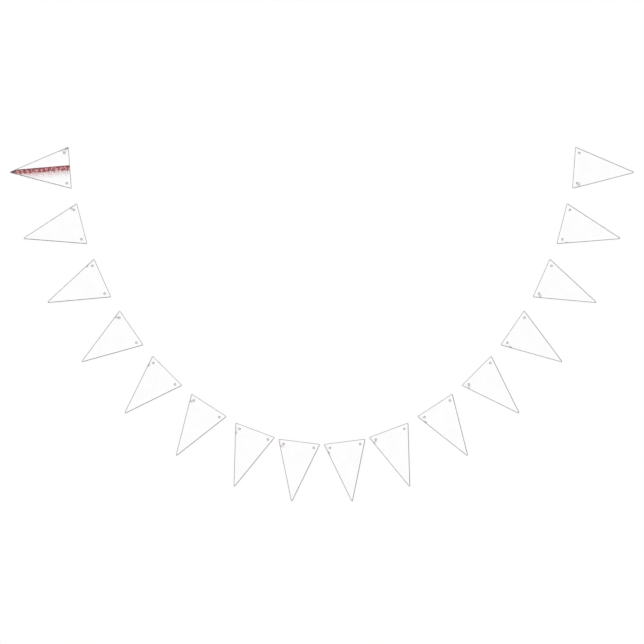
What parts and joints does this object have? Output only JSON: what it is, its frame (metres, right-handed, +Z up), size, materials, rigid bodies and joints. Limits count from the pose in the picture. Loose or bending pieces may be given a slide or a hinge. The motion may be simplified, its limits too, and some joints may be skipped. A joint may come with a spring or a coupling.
{
  "type": "bunting",
  "caption": "Bunting of triangular white cloth pennants laid out flat in a garland's curve, each with an eyelet near both top corners and one with a rose band.",
  "frame": {"origin": "on the surface that the bunting lies on, under the middle of the layout's box", "axes": "+X to the right along the garland's span, +Y towards its two ends, +Z up out of the cloth's face"},
  "size_m": [2.2314, 1.2666, 0.0021],
  "materials": {
    "white_cloth": "matte",
    "printed_cloth": "matte",
    "edge_thread": "matte",
    "eyelet_metal": "satin"
  },
  "bodies": {
    "root": {"pennant_01": "printed_cloth", "pennant_02": "white_cloth", "pennant_03": "white_cloth", "pennant_04": "white_cloth", "pennant_05": "white_cloth", "pennant_06": "white_cloth", "pennant_07": "white_cloth", "pennant_08": "white_cloth", "pennant_09": "white_cloth", "pennant_10": "white_cloth", "pennant_11": "white_cloth", "pennant_12": "white_cloth", "pennant_13": "white_cloth", "pennant_14": "white_cloth", "pennant_15": "white_cloth", "pennant_16": "white_cloth", "eyelet_01_left": "eyelet_metal", "eyelet_01_right": "eyelet_metal", "eyelet_02_left": "eyelet_metal", "eyelet_02_right": "eyelet_metal", "eyelet_03_left": "eyelet_metal", "eyelet_03_right": "eyelet_metal", "eyelet_04_left": "eyelet_metal", "eyelet_04_right": "eyelet_metal", "eyelet_05_left": "eyelet_metal", "eyelet_05_right": "eyelet_metal", "eyelet_06_left": "eyelet_metal", "eyelet_06_right": "eyelet_metal", "eyelet_07_left": "eyelet_metal", "eyelet_07_right": "eyelet_metal", "eyelet_08_left": "eyelet_metal", "eyelet_08_right": "eyelet_metal", "eyelet_09_left": "eyelet_metal", "eyelet_09_right": "eyelet_metal", "eyelet_10_left": "eyelet_metal", "eyelet_10_right": "eyelet_metal", "eyelet_11_left": "eyelet_metal", "eyelet_11_right": "eyelet_metal", "eyelet_12_left": "eyelet_metal", "eyelet_12_right": "eyelet_metal", "eyelet_13_left": "eyelet_metal", "eyelet_13_right": "eyelet_metal", "eyelet_14_left": "eyelet_metal", "eyelet_14_right": "eyelet_metal", "eyelet_15_left": "eyelet_metal", "eyelet_15_right": "eyelet_metal", "eyelet_16_left": "eyelet_metal", "eyelet_16_right": "eyelet_metal"}
  },
  "joints": []
}
